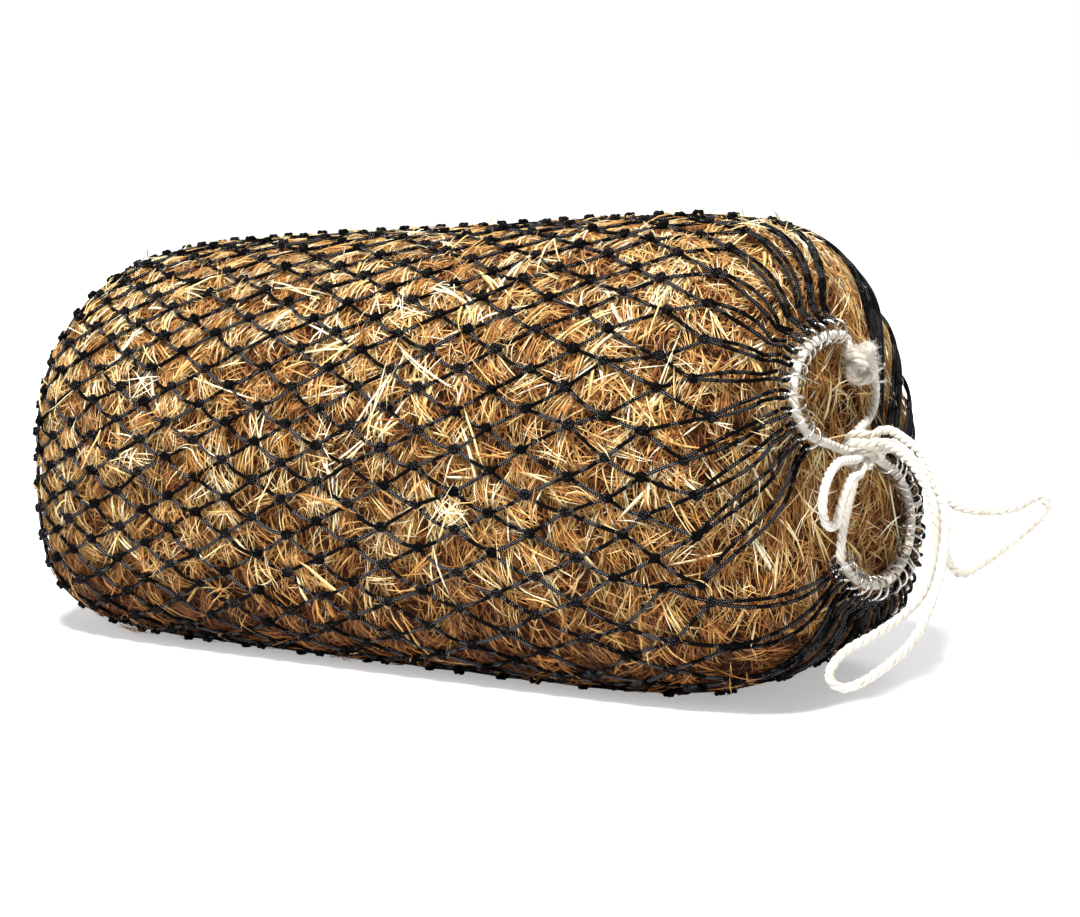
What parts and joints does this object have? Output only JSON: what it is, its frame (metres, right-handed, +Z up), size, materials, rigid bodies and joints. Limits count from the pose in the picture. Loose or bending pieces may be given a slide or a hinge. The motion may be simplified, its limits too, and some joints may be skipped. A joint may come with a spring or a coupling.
{
  "type": "hay net",
  "caption": "Filled hay net lying on its side: knotted cord netting stuffed with hay, its mouth drawn shut by a cotton rope run through steel rings in a figure of eight.",
  "frame": {"origin": "middle of the flat patch of netting that the filled net rests on", "axes": "+Z up, +X along the bag from the closed end to the mouth, +Y to the left when facing the mouth's way"},
  "size_m": [1.0997, 0.445, 0.4642],
  "materials": {
    "hay": "dry matt stems and blades",
    "net_cord": "braided synthetic cord, dull sheen",
    "rope": "laid cotton, soft and matt",
    "ring_steel": "bright plated wire"
  },
  "bodies": {
    "filled_net": {"hay_fill": "hay", "side_netting": "net_cord", "closed_end_netting": "net_cord", "closing_cord": "net_cord", "upper_mouth_meshes": "net_cord", "lower_mouth_meshes": "net_cord", "rope_hitch": "rope"},
    "upper_draw_loop": {"upper_rope_loop": "rope", "rope_end_knot": "rope"},
    "lower_draw_loop": {"lower_rope_loop": "rope"},
    "upper_ring_set": {"upper_rings": "ring_steel"},
    "lower_ring_set": {"lower_rings": "ring_steel"},
    "long_loop": {"long_rope_loop": "rope"},
    "outer_loop": {"outer_rope_loop": "rope"},
    "small_bow": {"small_bow_loop": "rope"}
  },
  "joints": [
    {"name": "rope_tail_pull", "type": "slide", "parent": "filled_net", "child": "long_loop", "axis": [0.9883, 0, 0.1522], "range_m": [-0.008, 0.03]},
    {"name": "upper_loop_draw", "type": "slide", "parent": "filled_net", "child": "upper_draw_loop", "axis": [-0.1419, -0.361, 0.9217], "range_m": [-0.0125, 0.0035], "deforming": ["upper_rope_loop", "upper_mouth_meshes"]},
    {"name": "lower_loop_draw", "type": "slide", "parent": "filled_net", "child": "lower_draw_loop", "axis": [0.143, 0.3428, -0.9285], "range_m": [-0.0125, 0.0035], "deforming": ["lower_rope_loop", "lower_mouth_meshes"]},
    {"name": "upper_rings_slide", "type": "hinge", "parent": "upper_draw_loop", "child": "upper_ring_set", "pos_m": [0.44915, -0.054, 0.30394], "axis": [0.9883, 0, 0.1522], "range_deg": [-2.5, 2.5]},
    {"name": "lower_rings_slide", "type": "hinge", "parent": "lower_draw_loop", "child": "lower_ring_set", "pos_m": [0.46985, -0.003, 0.16952], "axis": [0.9883, 0, 0.1522], "range_deg": [-4, 4]},
    {"name": "outer_loop_swing", "type": "hinge", "parent": "filled_net", "child": "outer_loop", "pos_m": [0.46452, -0.03, 0.24358], "axis": [-0.1522, 0, 0.9883], "range_deg": [-3, 30]},
    {"name": "small_bow_lift", "type": "hinge", "parent": "filled_net", "child": "small_bow", "pos_m": [0.46452, -0.03, 0.24358], "axis": [-0.1451, -0.3021, 0.9422], "range_deg": [0, 35]}
  ],
  "couplings": [
    {"joint": "upper_loop_draw", "follows": "rope_tail_pull", "ratio": -0.4},
    {"joint": "lower_loop_draw", "follows": "rope_tail_pull", "ratio": -0.4}
  ]
}
